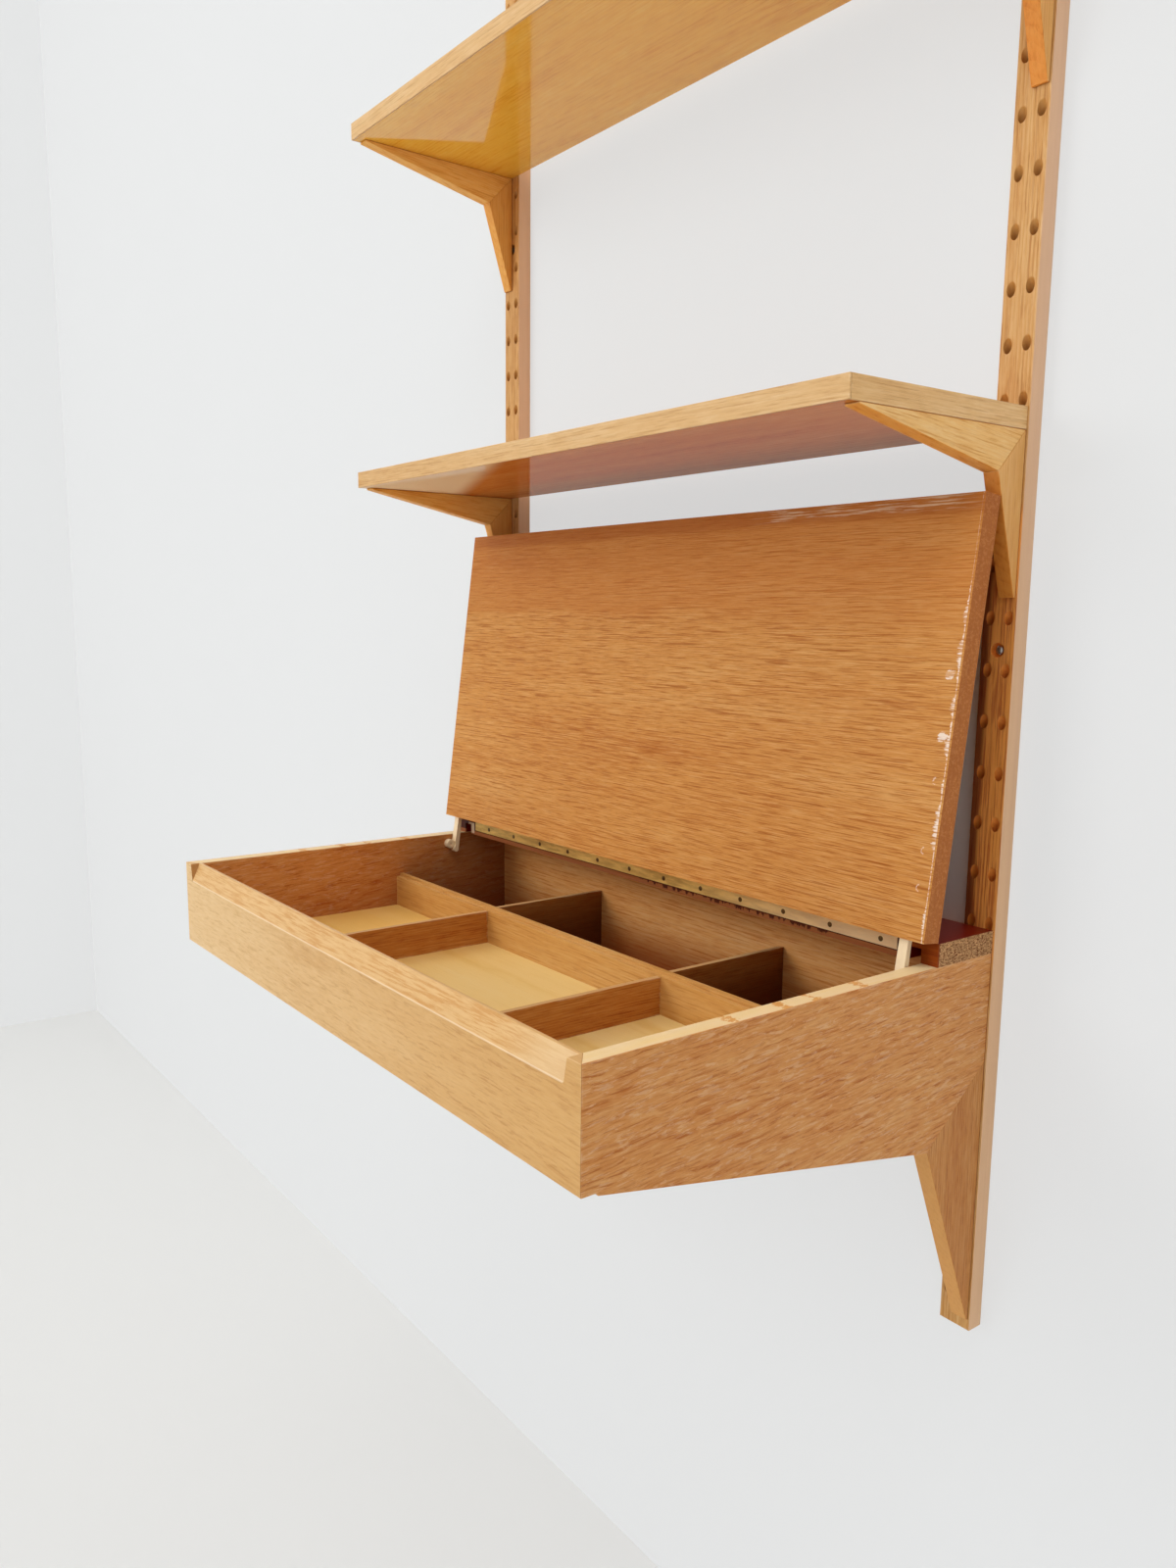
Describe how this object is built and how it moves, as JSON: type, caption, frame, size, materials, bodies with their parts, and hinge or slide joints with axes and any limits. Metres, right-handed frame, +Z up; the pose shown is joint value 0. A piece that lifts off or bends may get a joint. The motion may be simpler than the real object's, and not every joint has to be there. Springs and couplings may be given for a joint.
{
  "type": "shelving unit with desk",
  "caption": "Wall-mounted oak shelving unit: pegged rails carry shelves on tapered brackets and a compartmented desk box with a drop lid on a piano hinge and stay arms.",
  "frame": {"origin": "middle of the four outer wall screws, on the wall plane behind the rails", "axes": "+Z up, +Y into the wall, +X to the right as seen from the room"},
  "size_m": [0.804, 0.4828, 1.5725],
  "materials": {
    "rail_oak": "oiled oak, upright grain",
    "edging_oak": "oiled honey oak",
    "shelf_veneer": "lacquered oak veneer",
    "leg_oak": "oiled oak",
    "peg_wood": "turned beech",
    "box_oak": "lacquered oak veneer",
    "box_inside_oak": "lacquered, unlit inside",
    "light_ply": "pale plywood",
    "divider_oak": "solid oak strip",
    "chipboard": "veneered chipboard with bare ends",
    "dark_lipping": "dark veneer strip",
    "lid_veneer": "lacquered red-brown oak veneer",
    "lid_edging": "solid oak strip",
    "brass": "dull brass",
    "nylon": "cream moulded plastic"
  },
  "bodies": {
    "frame": {"back_panel": "box_inside_oak", "bottom_panel": "box_inside_oak", "bracket_arm_middle_left": "leg_oak", "bracket_arm_middle_right": "leg_oak", "bracket_arm_top_left": "leg_oak", "bracket_arm_top_right": "leg_oak", "bracket_leg_middle_left": "leg_oak", "bracket_leg_middle_right": "leg_oak", "bracket_leg_top_left": "leg_oak", "bracket_leg_top_right": "leg_oak", "desk_leg_left": "leg_oak", "desk_leg_right": "leg_oak", "desk_side_left": "box_oak", "desk_side_right": "box_oak", "front_divider_left": "divider_oak", "front_divider_right": "divider_oak", "front_floor": "light_ply", "front_panel": "box_oak", "hinge_leaf_fixed": "brass", "hinge_pin": "brass", "long_divider": "divider_oak", "peg_lower_desk_left": "peg_wood", "peg_lower_desk_right": "peg_wood", "peg_lower_middle_left": "peg_wood", "peg_lower_middle_right": "peg_wood", "peg_lower_top_left": "peg_wood", "peg_lower_top_right": "peg_wood", "peg_upper_desk_left": "peg_wood", "peg_upper_desk_right": "peg_wood", "peg_upper_middle_left": "peg_wood", "peg_upper_middle_right": "peg_wood", "peg_upper_top_left": "peg_wood", "peg_upper_top_right": "peg_wood", "rail_left": "rail_oak", "rail_right": "rail_oak", "rear_board": "chipboard", "rear_board_lipping": "dark_lipping", "rear_divider_left": "divider_oak", "rear_divider_right": "divider_oak", "shelf_end_edging_middle_left": "edging_oak", "shelf_end_edging_middle_right": "edging_oak", "shelf_end_edging_top_left": "edging_oak", "shelf_end_edging_top_right": "edging_oak", "shelf_front_edging_middle": "edging_oak", "shelf_front_edging_top": "edging_oak", "shelf_middle": "shelf_veneer", "shelf_top": "shelf_veneer", "stop_peg_left": "peg_wood", "stop_peg_right": "peg_wood"},
    "lid": {"hinge_leaf_lid": "brass", "lid": "lid_veneer", "lid_end_edging_left": "lid_edging", "lid_end_edging_right": "lid_edging", "lid_front_edging": "lid_edging", "stay_arm_left": "nylon", "stay_arm_right": "nylon"}
  },
  "joints": [
    {"name": "lid_hinge", "type": "hinge", "parent": "frame", "child": "lid", "pos_m": [0, -0.0986, -0.25607], "axis": [1, 0, 0], "range_deg": [0, 97.4]}
  ]
}
